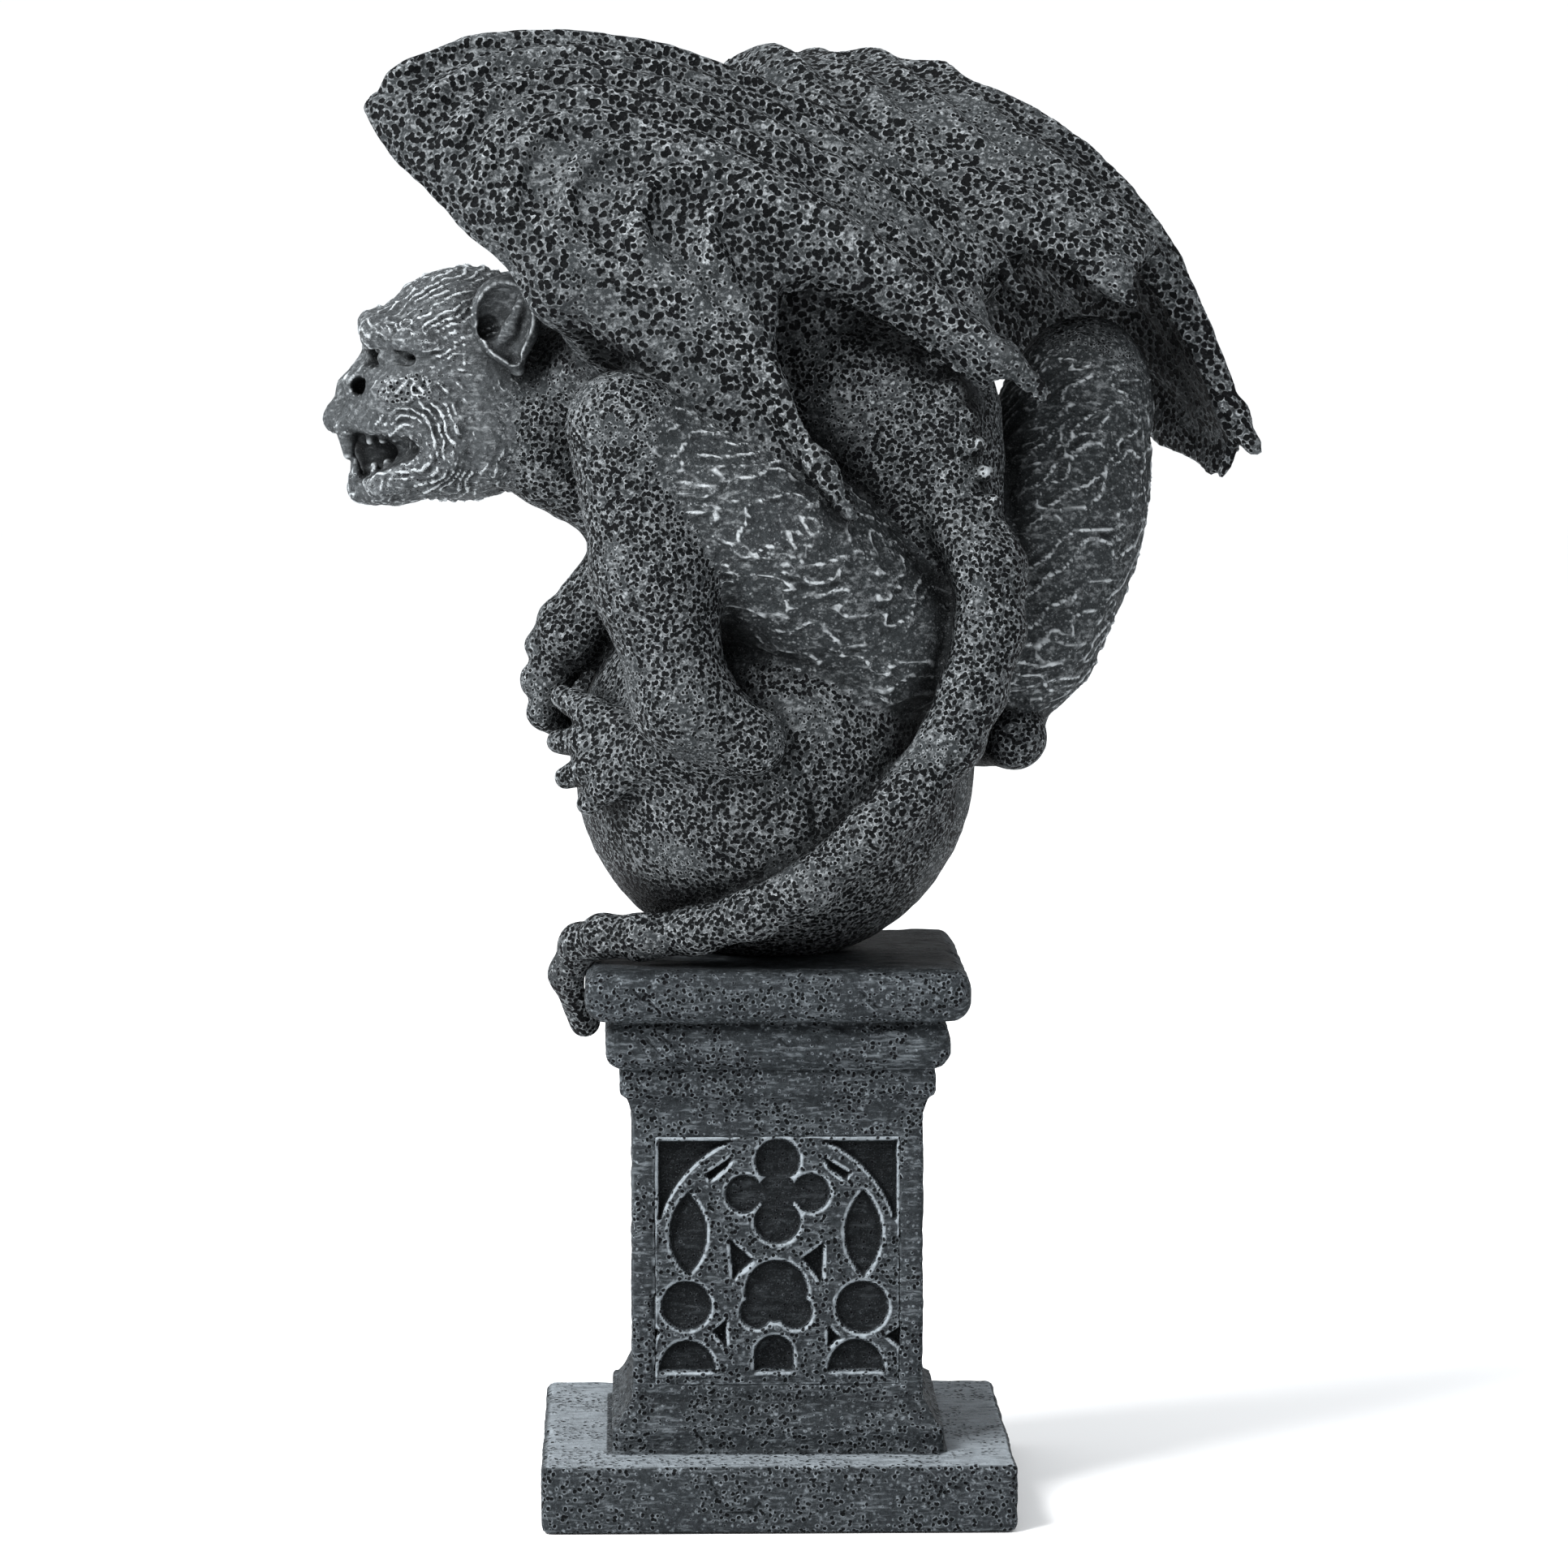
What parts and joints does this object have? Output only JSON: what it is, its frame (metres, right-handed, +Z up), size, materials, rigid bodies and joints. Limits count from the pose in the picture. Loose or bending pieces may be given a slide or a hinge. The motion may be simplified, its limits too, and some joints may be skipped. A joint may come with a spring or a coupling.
{
  "type": "gargoyle statue",
  "caption": "Winged gargoyle crouching on a ball, its tail curled down to the top of a square Gothic pedestal with blind tracery.",
  "frame": {"origin": "centre of the pedestal's underside", "axes": "+Z up; -X is the way the gargoyle looks; -Y is the side that its near wing, near leg and tail are on"},
  "size_m": [0.221, 0.1582, 0.3421],
  "materials": {
    "gargoyle_stone": "pitted, dark slate grey with pale dry-brushed high spots",
    "pedestal_stone": "pitted, dark slate grey with pale worn edges"
  },
  "bodies": {
    "root": {"pedestal": "pedestal_stone", "gargoyle_on_ball": "gargoyle_stone"}
  },
  "joints": []
}
